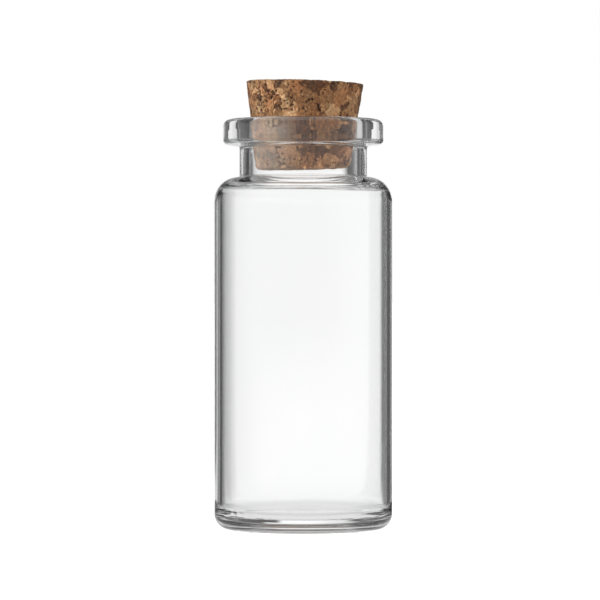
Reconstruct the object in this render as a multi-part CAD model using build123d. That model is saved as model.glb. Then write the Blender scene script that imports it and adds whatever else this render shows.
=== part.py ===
"""Stoppered sample vial: a glass tube vial with a flanged mouth, closed by a tapered cork.

Millimetres, +Z up. The origin is the middle of the vial's base, on the surface it stands on.
+X is the object's right as seen from its front, and the front faces -Y.
"""
import os
from build123d import *

# Outside of the glass
body_radius = 11.0            # straight tube
glass_height = 50.6           # base plane to the top of the rim
flange_radius = 9.92          # rolled rim, where a crimp cap would grip
flange_edge_drop = 3.05       # rim top down to the flange's lower outer edge
flange_root_drop = 3.35       # rim top down to where the sloping underside meets the neck
neck_radius = 7.9             # straight neck
shoulder_z = 43.5             # where the neck meets the shoulder
shoulder_round = 2.95         # quarter round from the neck's foot to the tube
heel_round = 1.9              # outer corner at the base
rim_round = 0.75              # top outer edge of the flange
flange_lower_round = 0.65     # lower outer edge of the flange
neck_top_round = 0.25         # flange's underside into the neck
neck_foot_round = 0.14        # neck into the shoulder, a tight crease

# Inside of the glass
wall = 0.9                    # straight tube wall
mouth_radius = 6.65           # bore that the cork seats in
mouth_round = 0.4             # inner edge of the rim
base_glass = 1.75             # inside bottom above the standing surface
inner_shoulder_z = 42.4       # underside of the shoulder's glass, at the tube wall
inner_shoulder_round = 1.0    # shoulder's underside into the tube wall
throat_z = 41.8               # the same underside at the bore, where the glass rolls down
throat_round = 0.6            # bore into the shoulder's underside
inner_heel_round = 1.2        # inside corner at the base

# Push-up: the shallow dish under the base, so that the vial stands on a ring
dish_radius = 7.2
dish_depth = 0.6

# Cork
cork_top_radius = 7.31
cork_length = 10.75
cork_taper = 0.138            # radius lost for each millimetre down from the top
cork_top_round = 0.15         # cut edge, nearly sharp
cork_bottom_round = 0.7       # worn lower edge
cork_proud = 4.6              # length that stands above the rim
cork_tilt = 1.6               # degrees, because it was pushed in a little crooked


def at(radius, z):
    """Selects the profile's corner at this radius and height."""
    return lambda corner: abs(corner.X - radius) < 1e-6 and abs(corner.Y - z) < 1e-6


def round_corners(profile, rounds):
    """Rounds the named corners of a flat profile, given as (radius, z, rounding)."""
    for radius, z, rounding in rounds:
        profile = fillet(profile.vertices().filter_by(at(radius, z)), rounding)
    return profile


def turned(points, rounds):
    """A solid turned about Z from a closed half profile of (radius, z) points."""
    profile = make_face(Polyline(*points, close=True))
    profile = round_corners(profile, rounds)
    upright = Plane.XZ * profile
    return revolve(upright, Axis.Z)


def outer_form():
    """Everything within the vial's outer surface, as if it were solid glass."""
    flange_edge_z = glass_height - flange_edge_drop
    flange_root_z = glass_height - flange_root_drop
    points = [
        (0, 0),
        (body_radius, 0),
        (body_radius, shoulder_z),
        (neck_radius, shoulder_z),
        (neck_radius, flange_root_z),
        (flange_radius, flange_edge_z),
        (flange_radius, glass_height),
        (0, glass_height),
    ]
    rounds = [
        (body_radius, 0, heel_round),
        (body_radius, shoulder_z, shoulder_round),
        (neck_radius, shoulder_z, neck_foot_round),
        (neck_radius, flange_root_z, neck_top_round),
        (flange_radius, flange_edge_z, flange_lower_round),
        (flange_radius, glass_height, rim_round),
    ]
    return turned(points, rounds)


def inner_form():
    """The vial's hollow, open at the mouth."""
    inner_radius = body_radius - wall
    flare_radius = mouth_radius + mouth_round
    points = [
        (0, base_glass),
        (inner_radius, base_glass),
        (inner_radius, inner_shoulder_z),
        (mouth_radius, throat_z),
        (mouth_radius, glass_height),
        (0, glass_height),
    ]
    rounds = [
        (inner_radius, base_glass, inner_heel_round),
        (inner_radius, inner_shoulder_z, inner_shoulder_round),
        (mouth_radius, throat_z, throat_round),
    ]
    hollow = turned(points, rounds)
    flare = Pos(0, 0, glass_height - mouth_round) * Cylinder(
        flare_radius, mouth_round, align=(Align.CENTER, Align.CENTER, Align.MIN)
    )
    ring = Pos(0, 0, glass_height - mouth_round) * Torus(flare_radius, mouth_round)
    return hollow + (flare - ring)


def base_dish():
    """A shallow spherical cap that hollows the underside of the base."""
    ball_radius = (dish_radius**2 + dish_depth**2) / (2 * dish_depth)
    return Pos(0, 0, dish_depth - ball_radius) * Sphere(ball_radius)


def glass_vial():
    """One piece of tube glass: flanged mouth, neck, shoulder, straight body and base."""
    return outer_form() - inner_form() - base_dish()


def cork_stopper():
    """A tapered agglomerated cork, seated slightly crooked in the mouth."""
    bottom_radius = cork_top_radius - cork_taper * cork_length
    bottom_z = cork_proud - cork_length
    points = [
        (0, bottom_z),
        (bottom_radius, bottom_z),
        (cork_top_radius, cork_proud),
        (0, cork_proud),
    ]
    rounds = [
        (bottom_radius, bottom_z, cork_bottom_round),
        (cork_top_radius, cork_proud, cork_top_round),
    ]
    cork = turned(points, rounds)
    return Pos(0, 0, glass_height) * Rot(0, cork_tilt, 0) * cork


os.makedirs("parts", exist_ok=True)
for name, piece in (("glass_vial", glass_vial()), ("cork_stopper", cork_stopper())):
    export_step(piece, f"parts/{name}.step")
    box = piece.bounding_box()
    print(name, "volume mm3", round(piece.volume, 1), "from", box.min, "to", box.max)
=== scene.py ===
# %% [markdown]
# # A corked glass sample vial
# The real object is two pieces: a vial drawn from one length of glass tube, and a tapered
# stopper pressed from cork granules. A fixed frame gives both in metres, +Z up, with the origin
# under the middle of the vial's base. Everything here is built in place around that frame, so
# no piece is moved afterwards. The hard part is the glass: it has no colour of its own, so it
# looks right only if its walls are the right thickness and there is something to see in it.

# %% Load the frame
import math
import bpy
import numpy as np
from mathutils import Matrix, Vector


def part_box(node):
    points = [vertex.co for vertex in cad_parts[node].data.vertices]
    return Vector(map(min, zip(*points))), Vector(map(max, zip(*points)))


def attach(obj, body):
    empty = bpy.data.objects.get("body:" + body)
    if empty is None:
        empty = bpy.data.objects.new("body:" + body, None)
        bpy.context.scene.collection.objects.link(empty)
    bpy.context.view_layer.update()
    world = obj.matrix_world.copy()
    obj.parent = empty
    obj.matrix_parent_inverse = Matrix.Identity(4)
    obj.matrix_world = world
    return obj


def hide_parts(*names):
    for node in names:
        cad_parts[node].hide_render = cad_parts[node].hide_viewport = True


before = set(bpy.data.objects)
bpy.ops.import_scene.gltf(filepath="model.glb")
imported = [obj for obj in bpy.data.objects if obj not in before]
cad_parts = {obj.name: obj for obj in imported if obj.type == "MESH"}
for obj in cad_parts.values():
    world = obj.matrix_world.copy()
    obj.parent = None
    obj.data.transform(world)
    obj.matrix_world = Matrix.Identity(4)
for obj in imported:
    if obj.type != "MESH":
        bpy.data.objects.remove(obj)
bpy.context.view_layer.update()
MM = 0.001
glass_low, glass_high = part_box("glass_vial")
BODY_RADIUS = glass_high.x / MM
RIM_Z = glass_high.z / MM
print("vial", round(2 * BODY_RADIUS, 1), "mm across,", round(RIM_Z, 1), "mm high")

# %% [markdown]
# ## The camera
# A small bottle is usually shot through a long lens, level with the middle of the glass, so
# that its sides stay parallel and only a thin sliver of the rim and the base shows. A short
# lens close by would splay the sides. The lens and the distance below give the flat view.

# %% Camera
CAMERA_DISTANCE = 0.414
CAMERA_HEIGHT = 0.0298
AIM = Vector((-0.0004, 0, 0.0283))
LENS_MM = 200.8
SENSOR_MM = 36


def add_camera():
    """A long lens on the front side, -Y, level with the middle of the vial."""
    data = bpy.data.cameras.new("camera")
    data.lens = LENS_MM
    data.sensor_width = SENSOR_MM
    data.clip_start = 0.01
    data.clip_end = 10
    camera = bpy.data.objects.new("camera", data)
    bpy.context.scene.collection.objects.link(camera)
    camera.location = (AIM.x, -CAMERA_DISTANCE, CAMERA_HEIGHT)
    camera.rotation_mode = "QUATERNION"
    camera.rotation_quaternion = (AIM - camera.location).to_track_quat("-Z", "Y")
    bpy.context.scene.camera = camera
    return camera


camera = add_camera()
print("camera at", [round(c, 3) for c in camera.location])

# %% [markdown]
# ## Meshes from arrays
# Both pieces are turned shapes: a half outline carried round an axis. Blender's Screw modifier
# could turn one, but then every point would lie on a perfect circle. Here the outline and the
# turn are two parameters of one grid, held in whole arrays, so that a later step can push the
# surface in or out anywhere with one line of arithmetic.

# %% Outline with rounded corners
def rounded_outline(corners, step=0.5, arc_parts=9):
    """Points along a path of (radius, height, rounding) corners, in millimetres.

    A corner with a rounding is replaced by a tangent arc: the arc's ends lie
    rounding * tan(turn / 2) before and after the corner. Straight runs are divided evenly.
    """
    path = np.array([c[:2] for c in corners], float)
    points = [path[0]]
    for i in range(1, len(path)):
        before = path[i - 1]
        here = path[i]
        rounding = corners[i][2]
        came = (here - before) / np.linalg.norm(here - before)
        if rounding and i + 1 < len(path):
            leaves = (path[i + 1] - here) / np.linalg.norm(path[i + 1] - here)
            turn = math.acos(np.clip(came @ leaves, -1, 1))
            reach = rounding * math.tan(turn / 2)
            start = here - came * reach
            side = np.sign(came[0] * leaves[1] - came[1] * leaves[0])
            normal = side * np.array([-came[1], came[0]])
            centre = start + normal * rounding
            angles = np.linspace(0, turn, arc_parts + 1)[:, None]
            arc = centre - normal * rounding * np.cos(angles) + came * rounding * np.sin(angles)
        else:
            start = here
            arc = here[None, :]
        last = points[-1]
        parts = max(1, int(np.ceil(np.linalg.norm(start - last) / step)))
        run = last + (start - last) * np.linspace(0, 1, parts + 1)[1:, None]
        points += list(run) + list(arc[1:])
    return np.array(points)


print("a corner rounded by 1 mm takes", len(rounded_outline([(4, 0, 0), (5, 0, 1), (5, 1, 0)])), "points")


# %% Turned grid, closed mesh and volume
def angles_round(around):
    """Evenly spaced angles round the axis, from +X towards +Y."""
    return np.arange(around) * (2 * np.pi / around)


def turn_grid(profile, around):
    """Grid of points x = r cos a, y = r sin a, z = h for each profile point and angle a."""
    angle = angles_round(around)
    radius = profile[:, 0][:, None]
    x = radius * np.cos(angle)
    y = radius * np.sin(angle)
    z = np.broadcast_to(profile[:, 1][:, None], x.shape)
    return np.stack([x, y, z], axis=-1)


def closed_mesh(name, grid):
    """A mesh from a grid whose first and last rows lie on the axis.

    Those rows become one pole vertex each with a fan of triangles, and the other rows are
    joined by quads that wrap round, so the surface has no seam and no hole.
    """
    rows, around = grid.shape[0] - 2, grid.shape[1]
    body = grid[1:-1].reshape(-1, 3)
    points = np.vstack([grid[0].mean(0), body, grid[-1].mean(0)])
    index = 1 + np.arange(rows * around).reshape(rows, around)
    nxt = np.roll(index, -1, axis=1)
    quads = np.stack([index[:-1], nxt[:-1], nxt[1:], index[1:]], axis=-1).reshape(-1, 4)
    first = np.stack([np.zeros(around, int), nxt[0], index[0]], axis=-1)
    last = np.stack([np.full(around, len(points) - 1), index[-1], nxt[-1]], axis=-1)
    mesh = bpy.data.meshes.new(name)
    mesh.from_pydata(points.tolist(), [], first.tolist() + quads.tolist() + last.tolist())
    mesh.polygons.foreach_set("use_smooth", np.ones(len(mesh.polygons), bool))
    mesh.update()
    piece = bpy.data.objects.new(name, mesh)
    bpy.context.scene.collection.objects.link(piece)
    return piece


def enclosed_volume(piece):
    """Volume inside a closed mesh in cubic millimetres, positive when its faces point outwards.

    It adds up the signed tetrahedra from the origin to each triangle: a . (b x c) / 6.
    """
    mesh = piece.data
    mesh.calc_loop_triangles()
    co = np.empty(len(mesh.vertices) * 3)
    mesh.vertices.foreach_get("co", co)
    tri = np.empty(len(mesh.loop_triangles) * 3, int)
    mesh.loop_triangles.foreach_get("vertices", tri)
    a, b, c = co.reshape(-1, 3)[tri.reshape(-1, 3)].transpose(1, 0, 2)
    return float(np.einsum("ij,ij->i", a, np.cross(b, c)).sum() / 6) / MM**3


print("a 3-point profile turned in 8 steps is a grid of", turn_grid(np.ones((3, 2)), 8).shape)


# %% [markdown]
# ## The glass vial
# Tube glass is softened in a flame: one end is closed for the base and the other is pressed
# over a mandrel for the neck and the flange. So the wall is thin and even along the tube,
# thicker where it was worked, and every corner is fire-rounded. The section below walks once
# round the glass: dish, heel, tube, shoulder, neck, flange, rim, bore and back down inside,
# where the underside of the shoulder rolls down a little at the bore.
# Glass has to be one closed skin with both of its surfaces, because light bends at each.

# %% Vial section
WALL = 0.8
DISH_RADIUS = 7.2
DISH_DEPTH = 0.6
BORE_RADIUS = 6.65
SHOULDER_Z = 43.5
INNER_SHOULDER_Z = 42.4
THROAT_Z = 41.8
BASE_GLASS = 1.75
NECK_RADIUS = 7.9
FLANGE_RADIUS = 9.92
FLANGE_EDGE_DROP = 3.05
FLANGE_ROOT_DROP = 3.35
DISH_POINTS = 18


def vial_section():
    """The whole section as (radius, height) points in millimetres, from pole to pole."""
    inner = BODY_RADIUS - WALL
    spread = np.linspace(0, DISH_RADIUS, DISH_POINTS)
    dish = np.stack([spread, DISH_DEPTH * (1 - (spread / DISH_RADIUS) ** 2)], axis=-1)
    walk = rounded_outline([
        (DISH_RADIUS, 0, 0),
        (BODY_RADIUS, 0, 1.9),
        (BODY_RADIUS, SHOULDER_Z, 2.95),
        (NECK_RADIUS, SHOULDER_Z, 0.14),
        (NECK_RADIUS, RIM_Z - FLANGE_ROOT_DROP, 0.3),
        (FLANGE_RADIUS, RIM_Z - FLANGE_EDGE_DROP, 0.65),
        (FLANGE_RADIUS, RIM_Z, 0.85),
        (BORE_RADIUS, RIM_Z, 0.4),
        (BORE_RADIUS, THROAT_Z, 0.6),
        (inner, INNER_SHOULDER_Z, 1.0),
        (inner, BASE_GLASS, 1.2),
        (0, BASE_GLASS, 0),
    ])
    return np.vstack([dish[:-1], walk])


section = vial_section()
print("vial section", len(section), "points")

# %% [markdown]
# A hand-drawn tube is never quite true. Its inner surface sits a little to one side, so the
# wall is thicker on the left than on the right, and the glass gathers in soft lumps at the
# heel. That is what makes the dark lines along real glass differ from side to side.

# %% Smooth steps and smooth noise
def smooth_step(value, low, high):
    """0 below low, 1 above high, and 3t^2 - 2t^3 between them."""
    t = np.clip((value - low) / (high - low), 0, 1)
    return t * t * (3 - 2 * t)


def wave_noise(points, size, seed, waves=12):
    """Smooth noise of about -1.5 to 1.5: the sum of sines along random directions over sqrt(n)."""
    rng = np.random.default_rng(seed)
    direction = rng.normal(size=(waves, 3))
    direction /= np.linalg.norm(direction, axis=1)[:, None]
    pace = 2 * np.pi / size * rng.uniform(0.6, 1.5, waves)
    phase = rng.uniform(0, 2 * np.pi, waves)
    return np.sin(points @ (direction * pace[:, None]).T + phase).sum(1) / math.sqrt(waves)


print("smooth_step(0.25, 0, 1) is", smooth_step(0.25, 0, 1))

# %% Vial mesh
OFF_CENTRE = 0.15
RIM_POINTS = 4
BASE_WORKED_Z = 1.2
SHOULDER_WORKED_Z = 42.2


def heel_lumps(grid, angle, height):
    """Fine lumps in the gathered glass at the heel, on the left and right of the front.

    Noise of about a millimetre, times a bell round each side's bearing and one up the heel.
    """
    left = np.exp(-((angle - math.radians(222)) / 0.2) ** 2)
    right = np.exp(-((angle - math.radians(310)) / 0.16) ** 2)
    level = np.exp(-((height - 1.6) / 0.7) ** 2)
    lumps = wave_noise(grid.reshape(-1, 3), 1.1, 31).reshape(grid.shape[:2])
    return (left + 0.8 * right) * level * lumps


def make_vial(around=288):
    """Turns the section about Z, then shifts and ripples the inner surface.

    The ripple is a sum of three slow waves round the axis, cos(k angle + phase), strongest
    near the base and the shoulder, where the glass was worked. The inner surface starts
    RIM_POINTS past the highest point of the section.
    """
    grid = turn_grid(section, around)
    angle = angles_round(around)
    height = section[:, 1][:, None]
    inside = (np.arange(len(section)) > np.argmax(section[:, 1]) + RIM_POINTS)[:, None]
    worked = np.exp(-((height - BASE_WORKED_Z) / 1.5) ** 2)
    worked = worked + 0.5 * np.exp(-((height - SHOULDER_WORKED_Z) / 1.2) ** 2)
    waves = sum(np.cos(k * angle + p) for k, p in ((3, 0.6), (5, 2.1), (8, 4.0)))
    push = (0.006 + 0.015 * worked) * waves + 0.035 * heel_lumps(grid, angle, height)
    scale = 1 + np.where(inside, push, 0) / np.maximum(section[:, 0], 1)[:, None]
    grid[..., 0] *= scale
    grid[..., 1] *= scale
    centred = smooth_step(height, SHOULDER_Z - 3, SHOULDER_Z)
    grid[..., 0] += np.where(inside, OFF_CENTRE * (1 - centred), 0)
    return closed_mesh("vial_glass", grid * MM)


vial = make_vial()
volume = enclosed_volume(vial)
print("glass triangles", len(vial.data.loop_triangles), "volume", round(volume), "mm3")

# %% [markdown]
# ## Clear glass
# Clear glass shows only what it bends and mirrors, so its colour is white, its transmission
# full and its refractive index that of ordinary glass, 1.5. Three small things keep it from
# looking computed: it greys a little where the sight line grazes it, it carries a faint
# cool-green cast that wanders through the melt, and its skin is not perfectly flat. The first
# is a Layer Weight mix, and the others are slow noise on Object coordinates.

# %% Material helpers
def new_material(name):
    """An empty node material with its Principled shader."""
    material = bpy.data.materials.new(name)
    material.use_nodes = True
    tree = material.node_tree
    return material, tree, tree.nodes["Principled BSDF"]


def object_noise(tree, scale, detail=2.0, roughness=0.5):
    """A Noise texture on Object coordinates; scale is in cells per metre."""
    place = tree.nodes.new("ShaderNodeTexCoord")
    noise = tree.nodes.new("ShaderNodeTexNoise")
    noise.inputs["Scale"].default_value = scale
    noise.inputs["Detail"].default_value = detail
    noise.inputs["Roughness"].default_value = roughness
    tree.links.new(place.outputs["Object"], noise.inputs["Vector"])
    return noise.outputs["Fac"]


def mapped(tree, value, from_low, from_high, to_low, to_high):
    """Stretches a value from one range to another and clamps it there."""
    node = tree.nodes.new("ShaderNodeMapRange")
    node.inputs["From Min"].default_value = from_low
    node.inputs["From Max"].default_value = from_high
    node.inputs["To Min"].default_value = to_low
    node.inputs["To Max"].default_value = to_high
    tree.links.new(value, node.inputs["Value"])
    return node.outputs["Result"]


def mixed(tree, amount, low, high, mode="MIX"):
    """Mix Color: each of amount, low and high is a socket, or a plain value where it is fixed."""
    node = tree.nodes.new("ShaderNodeMix")
    node.data_type = "RGBA"
    node.blend_type = mode
    for socket, value in ((node.inputs[0], amount), (node.inputs[6], low), (node.inputs[7], high)):
        if isinstance(value, bpy.types.NodeSocket):
            tree.links.new(value, socket)
        else:
            socket.default_value = value
    return node.outputs[2]


# %% Glass material
def make_glass():
    material, tree, shader = new_material("clear_tube_glass")
    shader.inputs["Transmission Weight"].default_value = 1
    shader.inputs["Roughness"].default_value = 0.0
    shader.inputs["IOR"].default_value = 1.5
    graze = tree.nodes.new("ShaderNodeLayerWeight")
    graze.inputs["Blend"].default_value = 0.5
    edge = mapped(tree, graze.outputs["Facing"], 0.5, 1.0, 0.0, 1.0)
    melt = mapped(tree, object_noise(tree, 90), 0.35, 0.65, 0.0, 1.0)
    cast = mixed(tree, melt, (1.0, 1.0, 1.0, 1), (0.992, 0.997, 0.995, 1))
    colour = mixed(tree, edge, cast, (0.98, 0.99, 0.987, 1))
    tree.links.new(colour, shader.inputs["Base Color"])
    bump = tree.nodes.new("ShaderNodeBump")
    bump.inputs["Strength"].default_value = 0.25
    bump.inputs["Distance"].default_value = 0.00001
    tree.links.new(object_noise(tree, 160, 1.0), bump.inputs["Height"])
    tree.links.new(bump.outputs["Normal"], shader.inputs["Normal"])
    return material


vial.data.materials.append(make_glass())
print("glass material", vial.data.materials[0].name)

# %% [markdown]
# Light that the cork or the floor scatters would have to find its way out through two curved
# surfaces, which takes a path tracer very long. Hiding the glass from shadow rays and from
# scattered light leaves what it mirrors and bends for the eye, and keeps the cork clean. Light
# that enters the base at a low angle is mirrored inside it many times before it gets out, and
# each time counts as a bounce, so the limits are raised, or the base would turn black.

# %% Rays that pass the glass
vial.visible_shadow = False
vial.visible_diffuse = False
light_paths = bpy.context.scene.cycles
light_paths.max_bounces = 24
light_paths.glossy_bounces = 16
light_paths.transmission_bounces = 24
print("glass is seen by camera, mirror and glass rays only, up to", light_paths.max_bounces, "bounces")

# %% [markdown]
# ## The cork's shape
# The stopper is agglomerated cork: bark ground to granules of about a millimetre, glued, baked
# into a block, then turned to a taper and sanded. Its skin shows cut granules, each with its
# own tone and grain, dark bark between some of them, and pits where a crumb fell out. A noise
# texture alone looks like sponge, because granules have edges. So the skin is divided the way
# the real block is: scattered centres, each taking the points nearest to it.

# %% Cork profile
CORK_TOP_RADIUS = 7.31
CORK_LENGTH = 10.75
CORK_TAPER = 0.138
CORK_PROUD = 4.6
CORK_TILT = math.radians(1.6)
FOOT_SLANT = 0.05
CORK_SHIFT = 0.08
CORK_FOOT = CORK_PROUD - CORK_LENGTH
CORK_LOW_RADIUS = CORK_TOP_RADIUS - CORK_TAPER * CORK_LENGTH


def cork_section():
    """(radius, height above the rim) points; the flat ends keep every second row only."""
    outline = rounded_outline([
        (0, CORK_FOOT, 0),
        (CORK_LOW_RADIUS, CORK_FOOT, 0.7),
        (CORK_TOP_RADIUS, CORK_PROUD, 0.15),
        (0, CORK_PROUD, 0),
    ], step=0.1, arc_parts=6)
    keep = (outline[:, 0] > CORK_LOW_RADIUS - 0.9) | (np.arange(len(outline)) % 2 == 0)
    keep[-1] = True
    return outline[keep]


def skin_normals(profile, around):
    """Outward normals of the turned profile: its tangent (dr, dh) turned to (dh, -dr)."""
    along = np.gradient(profile, axis=0)
    along /= np.linalg.norm(along, axis=1)[:, None]
    angle = angles_round(around)
    x = along[:, 1][:, None] * np.cos(angle)
    y = along[:, 1][:, None] * np.sin(angle)
    z = np.broadcast_to(-along[:, 0][:, None], x.shape)
    return np.stack([x, y, z], axis=-1)


cork_outline = cork_section()
print("cork outline", len(cork_outline), "points")


# %% Scattered granules
def cork_radius(height):
    """Radius of the tapered side at a height above the rim."""
    return CORK_TOP_RADIUS - CORK_TAPER * (CORK_PROUD - height)


def scatter_granules(count, rng):
    """Centres thrown into the cork's cylinder, keeping those within a millimetre of its skin."""
    angle = rng.uniform(0, 2 * np.pi, count)
    radius = (CORK_TOP_RADIUS + 0.1) * np.sqrt(rng.uniform(0, 1, count))
    height = rng.uniform(CORK_FOOT - 0.1, CORK_PROUD + 0.1, count)
    depth = np.minimum(cork_radius(height) - radius, CORK_PROUD - height)
    depth = np.minimum(depth, height - CORK_FOOT)
    centres = np.stack([radius * np.cos(angle), radius * np.sin(angle), height], axis=-1)
    return centres[(depth > -0.15) & (depth < 0.9)]


print("cork", round(2 * cork_radius(0), 2), "mm across at the rim")


# %% [markdown]
# Most granules can fall anywhere, but some larger ones give this cork its face: a smooth
# orange-brown one in the middle of the front, a dark plum-coloured one above it at the top
# edge, a ribbed yellow one at its lower right, and dark ones lower down behind the glass.
# They are placed one by one, by how far they are to the right and how high above the rim.

# %% Granules
LOOSE_GRANULES = 3600
FACE_GRANULES = (
    # right, height, size, tone
    (0.3, 1.9, 3.6, 0.42), (2.7, 2.5, 2.4, 0.46), (1.6, 3.9, 2.7, 0.14), (3.1, 1.0, 2.4, 0.84),
    (-0.9, 3.7, 2.0, 0.55), (4.6, 3.1, 2.6, 0.58), (-2.6, 1.2, 1.8, 0.78), (5.6, 1.2, 1.6, 0.66),
    (0.3, -1.7, 2.7, 0.10), (-1.6, -1.6, 1.8, 0.22), (4.4, -1.5, 1.7, 0.08), (2.4, -1.2, 2.8, 0.38),
    (2.2, -4.0, 2.2, 0.12), (0.4, -3.7, 1.9, 0.20), (3.8, -3.9, 1.6, 0.26), (-2.2, -4.2, 2.4, 0.60),
    (2.9, -4.9, 1.5, 0.60), (-4.4, -1.6, 2.3, 0.62), (5.4, -4.2, 1.7, 0.72), (-0.4, 0.4, 1.6, 0.56),
    (-0.6, -2.3, 1.4, 0.30), (0.8, -5.1, 1.6, 0.46), (-0.8, -5.0, 1.6, 0.52), (3.4, -2.6, 1.3, 0.30),
    (0.9, 2.15, 1.0, 0.20), (-4.2, 3.9, 1.4, 0.86), (-5.3, 2.6, 1.3, 0.80), (-3.2, 3.0, 1.2, 0.84),
)


def on_front(right, height):
    """The point of the cork's front skin at a distance right of the axis and a height."""
    radius = cork_radius(height)
    return (right, -math.sqrt(radius**2 - right**2), height)


def make_granules():
    """Centres, long axes, stretches, sizes and tones of all granules, the placed ones last."""
    rng = np.random.default_rng(7)
    loose = scatter_granules(LOOSE_GRANULES, rng)
    placed = np.array([on_front(right, height) for right, height, _, _ in FACE_GRANULES])
    centres = np.vstack([loose, placed])
    axes = rng.normal(size=(len(centres), 3))
    axes /= np.linalg.norm(axes, axis=1)[:, None]
    stretch = rng.uniform(1.0, 2.4, len(centres))
    stretch[len(loose):] = 1.25
    sizes = np.append(rng.uniform(0.55, 1.2, len(loose)), [g[2] for g in FACE_GRANULES])
    tones = np.append(rng.beta(2.6, 2.2, len(loose)), [g[3] for g in FACE_GRANULES])
    return centres, axes, stretch, sizes, tones


def nearest_granules(points, centres, axes, stretch, sizes):
    """For each point: its granule, the distance to it, and to the next nearest one.

    A distance is measured with the part along the granule's axis divided by its stretch, and
    the whole divided by its size, so that long and large granules reach further.
    """
    first = np.full(len(points), np.inf)
    second = np.full(len(points), np.inf)
    which = np.zeros(len(points), int)
    for i in range(len(centres)):
        offset = points - centres[i]
        along = offset @ axes[i]
        square = (offset * offset).sum(1) - (1 - 1 / stretch[i] ** 2) * along**2
        distance = np.sqrt(np.maximum(square, 0)) / sizes[i]
        closer = distance < first
        second = np.where(closer, first, np.minimum(second, distance))
        first = np.where(closer, distance, first)
        which = np.where(closer, i, which)
    return which, first, second


granules = make_granules()
print("granules", len(granules[0]))

# %% [markdown]
# Pits come in three kinds: many small ones everywhere, a crowd of them in the upper left of
# the front where the bark was coarse, and a few placed one by one beside the large granules.

# %% Pits and crumbs
SIDE_PITS = 380
CROWD_PITS = 85
TOP_PITS = 150
FACE_PITS = (
    # right, height, radius
    (1.75, 1.35, 0.22), (1.95, 0.95, 0.26), (1.75, 1.0, 0.16), (5.1, 3.75, 0.15), (4.5, 0.75, 0.2),
    (4.55, 0.4, 0.17), (5.35, 0.45, 0.2), (5.4, 0.75, 0.14), (0.55, 2.05, 0.2), (0.95, 2.2, 0.2),
    (0.25, 1.85, 0.14), (-4.1, 2.3, 0.22), (-3.9, 2.75, 0.2), (-4.9, 3.1, 0.18), (-1.3, 3.6, 0.17),
    (-0.4, 3.1, 0.18), (-1.6, 2.3, 0.17), (-3.0, 1.1, 0.2), (-2.2, 0.95, 0.15), (2.3, 2.95, 0.14),
    (4.0, -1.35, 0.24), (4.3, -1.8, 0.2), (3.7, -1.5, 0.15), (0.9, -1.9, 0.2), (5.6, -1.6, 0.18),
)


def scatter_pits(rng):
    """Rows of (x, y, height, radius): pits all over, a crowd in one corner, and placed ones."""
    def on_side(angle, height, radius):
        reach = cork_radius(height)
        return np.stack([reach * np.cos(angle), reach * np.sin(angle), height, radius], axis=-1)

    spread = on_side(
        rng.uniform(0, 2 * np.pi, SIDE_PITS),
        rng.uniform(CORK_FOOT + 0.3, CORK_PROUD - 0.1, SIDE_PITS),
        rng.uniform(0.06, 0.15, SIDE_PITS),
    )
    crowd = on_side(
        np.radians(rng.normal(228, 17, CROWD_PITS)),
        rng.uniform(0.7, CORK_PROUD - 0.1, CROWD_PITS),
        rng.uniform(0.08, 0.2, CROWD_PITS),
    )
    reach = CORK_TOP_RADIUS * np.sqrt(rng.uniform(0, 0.95, TOP_PITS))
    turn = rng.uniform(0, 2 * np.pi, TOP_PITS)
    top = np.stack([
        reach * np.cos(turn), reach * np.sin(turn), np.full(TOP_PITS, CORK_PROUD),
        rng.uniform(0.07, 0.2, TOP_PITS),
    ], axis=-1)
    placed = np.array([on_front(right, height) + (radius,) for right, height, radius in FACE_PITS])
    return np.vstack([spread, crowd, top, placed])


def scatter_crumbs(rng):
    """Rows of (x, y, height, radius) for crumbs that cling to the foot's front edge."""
    angle = np.radians(np.append(rng.uniform(235, 305, 26), rng.uniform(282, 300, 12)))
    reach = CORK_LOW_RADIUS - rng.uniform(0.15, 0.5, len(angle))
    size = rng.uniform(0.1, 0.24, len(angle))
    foot = np.full(len(angle), CORK_FOOT)
    return np.stack([reach * np.cos(angle), reach * np.sin(angle), foot, size], axis=-1)


def strongest_bump(points, bumps):
    """Height of the tallest round bump at each point: radius * sqrt(1 - (distance / radius)^2)."""
    tallest = np.zeros(len(points))
    for bump in bumps:
        square = ((points - bump[:3]) ** 2).sum(1) / bump[3] ** 2
        tallest = np.maximum(tallest, bump[3] * np.sqrt(np.clip(1 - square, 0, 1)))
    return tallest


rng = np.random.default_rng(21)
pits = scatter_pits(rng)
crumbs = scatter_crumbs(rng)
print("pits", len(pits), "crumbs", len(crumbs))

# %% [markdown]
# Now the skin is pushed inwards along its normals, never outwards, so that the cork still
# fits the bore: a little for the sanded surface, more along the seams between granules where
# they have opened, and most in the pits. The same numbers are kept as attributes, because the
# material needs to know where a granule ends and where a pit lies in shadow.

# %% Cork mesh
def seat(grid):
    """Slants the foot a little, then tilts the cork about the rim's middle and lifts it there."""
    sunk = smooth_step(-grid[..., 2], 0, -CORK_FOOT)
    level = grid[..., 2] + FOOT_SLANT * grid[..., 0] * sunk
    x = grid[..., 0] * math.cos(CORK_TILT) + level * math.sin(CORK_TILT)
    z = -grid[..., 0] * math.sin(CORK_TILT) + level * math.cos(CORK_TILT)
    return np.stack([x + CORK_SHIFT, grid[..., 1], z + RIM_Z], axis=-1)


def add_attribute(mesh, name, kind, field, values, around):
    """Stores one value per vertex of a closed_mesh, from a grid of values with its pole rows."""
    rows = values.reshape(-1, around, *values.shape[1:])
    flat = np.concatenate([rows[0, :1], rows[1:-1].reshape(-1, *values.shape[1:]), rows[-1, :1]])
    attribute = mesh.attributes.new(name, kind, "POINT")
    attribute.data.foreach_set(field, flat.astype(np.float32).ravel())


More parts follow.
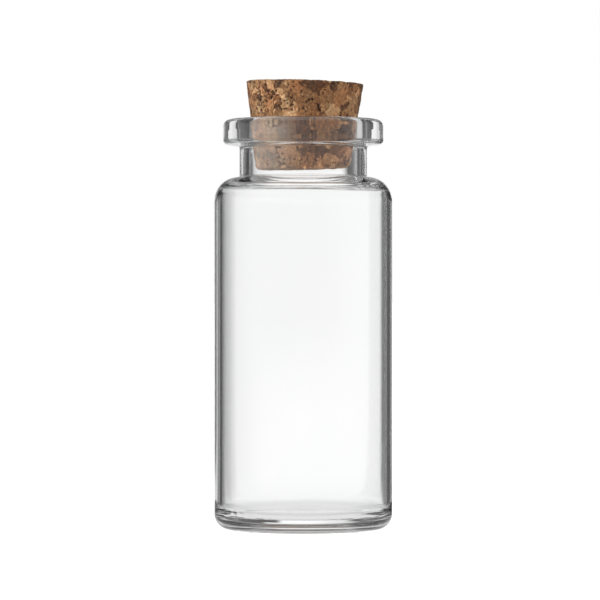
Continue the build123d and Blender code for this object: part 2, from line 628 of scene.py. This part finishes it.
def make_cork(around=500):
    """The turned cork with its skin pushed in by seams, pits and sanding marks."""
    grid = turn_grid(cork_outline, around)
    points = grid.reshape(-1, 3)
    wander = np.stack([wave_noise(points, 0.9, seed) for seed in (1, 2, 3)], axis=-1)
    warped = points + 0.13 * wander
    centres, axes, stretch, sizes, tones = granules
    which, first, second = nearest_granules(warped, centres, axes, stretch, sizes)
    gap = (second - first) * sizes[which]
    opened = np.clip(0.35 + 0.75 * wave_noise(points, 2.6, 4), 0, 1)
    seam = np.exp(-(gap / 0.07) ** 2) * opened
    pit = strongest_bump(points + 0.06 * wander, pits)
    crumb = strongest_bump(points, crumbs)
    level = np.random.default_rng(5).uniform(0, 0.06, len(centres))[which]
    sanding = 0.012 * (1.5 + wave_noise(points, 0.35, 6)) + 0.02 * (1.5 + wave_noise(points, 1.6, 8))
    inward = level * np.clip(gap / 0.1, 0, 1) + 0.09 * seam + 0.95 * pit + sanding
    push = (crumb - inward)[:, None] * skin_normals(cork_outline, around).reshape(-1, 3)
    piece = closed_mesh("cork", seat((points + push).reshape(grid.shape)) * MM)

    side = np.cross(axes, np.roll(axes, 1, axis=1))
    side /= np.linalg.norm(side, axis=1)[:, None]
    third = np.cross(axes, side)
    offset = warped - centres[which]
    grain = np.stack([(offset * a[which]).sum(1) for a in (axes, side, third)], axis=-1)
    grain += 3.7 * (which % 17)[:, None]
    hollow = np.clip(1.1 * seam + 7.5 * pit, 0, 1)
    mottle = 0.13 * wave_noise(points, 0.5, 11) + 0.07 * wave_noise(points, 0.28, 12)
    calm = np.where(which >= len(centres) - len(FACE_GRANULES), 0.5, 1.0)
    tone = np.clip(tones[which] + calm * mottle, 0, 1)
    # Painted reflection: a mask for the cork's left side below the rim, paled to stand in for the window
    # mirrored in the glass
    painted_reflection = smooth_step(-points[:, 2], -0.1, 0.3) * smooth_step(-points[:, 0], -0.5, 3.5)
    add_attribute(piece.data, "granule_tone", "FLOAT", "value", tone, around)
    add_attribute(piece.data, "hollow", "FLOAT", "value", hollow, around)
    add_attribute(piece.data, "painted_reflection", "FLOAT", "value", painted_reflection, around)
    add_attribute(piece.data, "grain", "FLOAT_VECTOR", "vector", grain, around)
    return piece


cork = make_cork()
volume = enclosed_volume(cork)
print("cork triangles", len(cork.data.loop_triangles), "volume", round(volume), "mm3")

# %% [markdown]
# ## The cork's finish
# Each granule takes its colour from its own tone, from near-black bark through orange-brown
# to straw. Cork cells lie in layers, so every granule is finely ribbed along its own grain.
# The grain attribute is a position measured along each granule's axes, which lets one Noise
# texture, squeezed across the axis, turn with every granule. Voronoi specks stand for the
# tiny lenticels. On the left, below the rim, the skin is painted half-way to pale grey: a
# painted reflection of the bright left window mirrored in the glass over the cork. Cork is dry
# and matt, so its gloss is low and rough.

# %% Cork material
CORK_TONES = (
    (0.00, (0.040, 0.016, 0.006, 1)),
    (0.25, (0.105, 0.044, 0.016, 1)),
    (0.50, (0.195, 0.090, 0.034, 1)),
    (0.75, (0.275, 0.142, 0.060, 1)),
    (1.00, (0.420, 0.255, 0.130, 1)),
)


def read_attribute(tree, name):
    node = tree.nodes.new("ShaderNodeAttribute")
    node.attribute_name = name
    return node


def ramp(tree, value, stops):
    """A Color Ramp through (place, colour) stops."""
    node = tree.nodes.new("ShaderNodeValToRGB")
    points = node.color_ramp.elements
    points[0].position, points[0].color = stops[0]
    points[1].position, points[1].color = stops[-1]
    for place, colour in stops[1:-1]:
        points.new(place).color = colour
    tree.links.new(value, node.inputs["Fac"])
    return node.outputs["Color"]


def grain_noise(tree, squeeze, detail):
    """Noise along each granule's grain: squeeze is cells per millimetre along and across it."""
    mapping = tree.nodes.new("ShaderNodeMapping")
    mapping.inputs["Scale"].default_value = (squeeze[0], squeeze[1], squeeze[1])
    tree.links.new(read_attribute(tree, "grain").outputs["Vector"], mapping.inputs["Vector"])
    noise = tree.nodes.new("ShaderNodeTexNoise")
    noise.inputs["Scale"].default_value = 1.0
    noise.inputs["Detail"].default_value = detail
    noise.inputs["Roughness"].default_value = 0.6
    tree.links.new(mapping.outputs["Vector"], noise.inputs["Vector"])
    return noise.outputs["Fac"]


def specks(tree, scale, size):
    """Small round specks, 1 at their middles: near distances in a Voronoi texture."""
    place = tree.nodes.new("ShaderNodeTexCoord")
    cells = tree.nodes.new("ShaderNodeTexVoronoi")
    cells.inputs["Scale"].default_value = scale
    tree.links.new(place.outputs["Object"], cells.inputs["Vector"])
    return mapped(tree, cells.outputs["Distance"], 0.0, size, 1.0, 0.0)


def make_cork_material():
    material, tree, shader = new_material("pressed_cork")
    tone = ramp(tree, read_attribute(tree, "granule_tone").outputs["Fac"], CORK_TONES)
    ribs = grain_noise(tree, (1.6, 6.5), 4)
    streaks = mapped(tree, ribs, 0.32, 0.68, 0.0, 1.0)
    streaked = mixed(tree, streaks, (0.52, 0.46, 0.40, 1), (1.42, 1.44, 1.46, 1))
    colour = mixed(tree, 1.0, tone, streaked, "MULTIPLY")
    patches = mapped(tree, object_noise(tree, 420, 3), 0.35, 0.65, 0.0, 1.0)
    warmth = mixed(tree, patches, (1.08, 0.94, 0.84, 1), (0.94, 1.05, 1.12, 1))
    colour = mixed(tree, 1.0, colour, warmth, "MULTIPLY")
    # Painted reflection: where the mask is set, the colour goes half-way to pale grey, for the window
    # mirrored in the glass
    painted_reflection = read_attribute(tree, "painted_reflection").outputs["Fac"]
    colour = mixed(tree, mapped(tree, painted_reflection, 0.0, 1.0, 0.0, 0.5), colour, (0.190, 0.165, 0.135, 1))
    dots = specks(tree, 2300, 0.28)
    colour = mixed(tree, mapped(tree, dots, 0.0, 1.0, 0.0, 0.7), colour, (0.060, 0.026, 0.012, 1))
    hollow = read_attribute(tree, "hollow").outputs["Fac"]
    colour = mixed(tree, mapped(tree, hollow, 0.1, 0.9, 0.0, 0.85), colour, (0.035, 0.013, 0.005, 1))
    tree.links.new(colour, shader.inputs["Base Color"])
    tree.links.new(mapped(tree, ribs, 0.3, 0.7, 0.9, 0.65), shader.inputs["Roughness"])
    shader.inputs["Specular IOR Level"].default_value = 0.28
    bump = tree.nodes.new("ShaderNodeBump")
    bump.inputs["Strength"].default_value = 0.9
    bump.inputs["Distance"].default_value = 0.00007
    lowered = tree.nodes.new("ShaderNodeMath")
    lowered.operation = "SUBTRACT"
    tree.links.new(ribs, lowered.inputs[0])
    tree.links.new(dots, lowered.inputs[1])
    tree.links.new(lowered.outputs["Value"], bump.inputs["Height"])
    tree.links.new(bump.outputs["Normal"], shader.inputs["Normal"])
    return material


cork.data.materials.append(make_cork_material())
print("cork material", cork.data.materials[0].name)

# %% [markdown]
# ## Floor and backdrop
# The vial stands on a white sweep in a white room, bright enough that no edge of the floor
# shows. The floor is hidden from rays that come through the glass, because they meet the
# surround of the next step instead.

# %% World and floor
def emission_material(name):
    """A material that glows and does nothing else."""
    material = bpy.data.materials.new(name)
    material.use_nodes = True
    tree = material.node_tree
    tree.nodes.clear()
    out = tree.nodes.new("ShaderNodeOutputMaterial")
    glow = tree.nodes.new("ShaderNodeEmission")
    tree.links.new(glow.outputs["Emission"], out.inputs["Surface"])
    return material, tree, glow


def set_world():
    """Even white light from everywhere, which is also the white backdrop."""
    world = bpy.data.worlds.new("white_room")
    world.use_nodes = True
    background = world.node_tree.nodes["Background"]
    background.inputs["Color"].default_value = (1, 1, 1, 1)
    background.inputs["Strength"].default_value = 1.0
    bpy.context.scene.world = world


def add_floor(half=6.0):
    """A plain white floor at the height of the vial's base."""
    mesh = bpy.data.meshes.new("floor")
    corners = [(-half, -half, 0), (half, -half, 0), (half, half, 0), (-half, half, 0)]
    mesh.from_pydata(corners, [], [(0, 1, 2, 3)])
    floor = bpy.data.objects.new("floor", mesh)
    bpy.context.scene.collection.objects.link(floor)
    material, _, shader = new_material("white_sweep")
    shader.inputs["Base Color"].default_value = (0.9, 0.9, 0.9, 1)
    shader.inputs["Roughness"].default_value = 1.0
    shader.inputs["Specular IOR Level"].default_value = 0.0
    mesh.materials.append(material)
    floor.visible_transmission = False
    floor.visible_glossy = False
    return floor


set_world()
add_floor()
print("white world and floor")

# %% [markdown]
# ## What the glass looks at
# In a studio the edges of glass are drawn with black cards set beside it: the thick edge bends
# the sight line far round, so it finds the cards and turns dark, while the middle looks
# straight through to the white backdrop. One closed bowl round the vial stands for backdrop,
# cards, windows, ceiling and overhead softbox together, and its brightness is a formula of
# compass bearing and height: on each side a white backdrop, a black card with a grey gap in it,
# and the room beyond. The cards differ from side to side, so the two edges do too. The bowl is
# unseen by the camera and casts no light, and under the vial its floor fades to pale grey.

# %% Brightness of the surround
BACKDROP_TONE = 1.0
CARD_TONE = 0.07
GAP_TONE = 0.22
GAP_WIDTH = 3
REAR_TONE = 0.5
# Bearings in degrees from the back: where the black card starts and ends, how soft its edge is,
# where its grey gap lies, how far the backdrop dims beside it, and how bright the room beyond is
LEFT_SIDE = {"start": 21, "end": 75, "edge": 4, "gap": 31, "dims": 0.25, "room": 0.95}
RIGHT_SIDE = {"start": 10, "end": 52, "edge": 2, "gap": 37, "dims": 0.0, "room": 0.65}
UPPER_FOOT = 0.066
WINDOW_GLOW = 0.5
RIGHT_LEAN = 7.5
LEFT_LEAN = -5.5
CEILING_TONE = 0.2
CEILING_FROM = 8
SOFTBOX_FROM = 42
BOWL_RADIUS = 0.6
WALL_REACH = 0.009
FRONT_FLOOR = 0.92
UNDER_VIAL_TONE = 0.78


def studio_side(away, side):
    """Brightness on one side of the room, at a bearing away from the back.

    The white backdrop dims towards the card, the card is black but for one grey gap shaped as
    a bell, exp(-((away - gap) / width)^2), and past it the room dims towards the camera.
    """
    backdrop = BACKDROP_TONE - side["dims"] * smooth_step(away, 0, side["start"])
    gap = np.exp(-((away - side["gap"]) / GAP_WIDTH) ** 2)
    card = CARD_TONE + (GAP_TONE - CARD_TONE) * gap
    room = side["room"] + (REAR_TONE - side["room"]) * smooth_step(away, 85, 160)
    onto_card = smooth_step(away, side["start"] - side["edge"], side["start"] + side["edge"])
    tone = backdrop + (card - backdrop) * onto_card
    return tone + (room - tone) * smooth_step(away, side["end"] - 4, side["end"] + 4)


def surround_tone(bearing, out, height):
    """Brightness of the surround at a bearing, a distance from the axis and a height.

    Each side is backdrop, card and room. Above UPPER_FOOT the cards' edges lean further round
    and a tall window glows on the left. From CEILING_FROM degrees up the dark of the room begins,
    and from SOFTBOX_FROM degrees up the white softbox overhead. The floor repeats the wall's
    tones, but a sight line leaves the glass WALL_REACH off the axis, so the bearings close in
    by WALL_REACH / out, its front half is nearly white, and under the vial it is pale grey.
    """
    shift = np.degrees(WALL_REACH / np.maximum(out, 0.03) - WALL_REACH / BOWL_RADIUS)
    shift = np.where(height > 0.001, 0, shift)
    bearing = np.sign(bearing) * np.maximum(np.abs(bearing) - shift, 0)
    upper = smooth_step(height, UPPER_FOOT, UPPER_FOOT + 0.012)
    right = RIGHT_LEAN * smooth_step(bearing, 4, 9) * (1 - smooth_step(bearing, 24, 34))
    left = LEFT_LEAN * smooth_step(-bearing, 12, 17) * (1 - smooth_step(-bearing, 42, 48))
    leaned = bearing - upper * (right + left)
    on_left = studio_side(-leaned, LEFT_SIDE)
    card = np.where(leaned < 0, on_left, studio_side(leaned, RIGHT_SIDE))
    window = smooth_step(bearing, -180, -135) * (1 - smooth_step(bearing, -125, -100))
    card = card + WINDOW_GLOW * window * upper
    elevation = np.degrees(np.arctan2(height, np.maximum(out, 1e-6)))
    overhead = smooth_step(elevation, CEILING_FROM, CEILING_FROM + 12)
    card = card * (1 - overhead) + CEILING_TONE * overhead
    softbox = smooth_step(elevation, SOFTBOX_FROM, SOFTBOX_FROM + 15)
    card = card * (1 - softbox) + softbox
    front = smooth_step(np.abs(bearing), 80, 110) * (height <= 0.001)
    card = card * (1 - front) + FRONT_FLOOR * front
    side = smooth_step(np.abs(bearing), 9, 16)
    far = np.where(height > 0.001, 1, smooth_step(out, 0.04 - 0.03 * side, 0.14 - 0.1 * side))
    near = UNDER_VIAL_TONE + 0.17 * smooth_step(out, 0.02, 0.06)
    return far * card + (1 - far) * near


print("brightness behind the vial", float(surround_tone(np.array(0.0), 0.6, 0.05)))


# %% Surround
def add_surround(radius=BOWL_RADIUS, around=720):
    """A closed bowl: rings on the floor from the middle out, up a round wall and in overhead."""
    bearing = np.linspace(-180, 180, around, endpoint=False)
    floor_r = np.array([0.001, 0.01, 0.02, 0.04, 0.055, 0.07, 0.085, 0.1, 0.12, 0.14, 0.25, 0.4])
    wall_z = np.concatenate([np.linspace(0.02, 0.1, 33), np.linspace(0.12, 0.6, 16)])
    roof_r = np.array([0.55, 0.4, 0.2, 0.1, 0.001])
    path_r = np.concatenate([floor_r, np.full(len(wall_z), radius), roof_r])
    path_z = np.concatenate([np.full(len(floor_r), -0.1 * MM), wall_z, np.full(len(roof_r), 0.62)])
    r, b = np.meshgrid(path_r, np.radians(bearing), indexing="ij")
    z = np.repeat(path_z[:, None], around, axis=1)
    grid = np.stack([r * np.sin(b), r * np.cos(b), z], axis=-1)
    tone = surround_tone(np.degrees(b), r, z)
    bowl = closed_mesh("surround", grid)
    add_attribute(bowl.data, "tone", "FLOAT", "value", tone.ravel(), around)
    material, tree, glow = emission_material("surround_glow")
    tree.links.new(read_attribute(tree, "tone").outputs["Fac"], glow.inputs["Color"])
    bowl.data.materials.append(material)
    bowl.visible_camera = False
    bowl.visible_diffuse = False
    bowl.visible_shadow = False
    return bowl


bowl = add_surround()
print("surround", len(bowl.data.polygons), "faces")

# %% [markdown]
# ## Soft lights for the cork
# The white room alone would light the cork evenly and flatten its skin. A wide soft window
# from the left, a weaker one from the right and an overhead one model its round side and let
# the pits fall dark.

# %% Lights
def add_sun(name, direction, strength, angle):
    """A soft directional light; the angle is how wide the window looks, in degrees."""
    data = bpy.data.lights.new(name, "SUN")
    data.energy = strength
    data.angle = math.radians(angle)
    lamp = bpy.data.objects.new(name, data)
    bpy.context.scene.collection.objects.link(lamp)
    lamp.rotation_mode = "QUATERNION"
    lamp.rotation_quaternion = Vector(direction).to_track_quat("-Z", "Y")
    return lamp


add_sun("overhead", (0.1, 0.15, -1), 0.45, 40)
add_sun("left_window", (1, 0.35, -0.45), 2.5, 25)
add_sun("right_window", (-1, 0.3, -0.35), 0.15, 30)
bpy.context.scene.view_settings.view_transform = "Standard"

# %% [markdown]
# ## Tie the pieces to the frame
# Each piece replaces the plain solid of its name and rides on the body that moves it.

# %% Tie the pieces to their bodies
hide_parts("glass_vial")
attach(vial, "vial")
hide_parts("cork_stopper")
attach(cork, "cork")
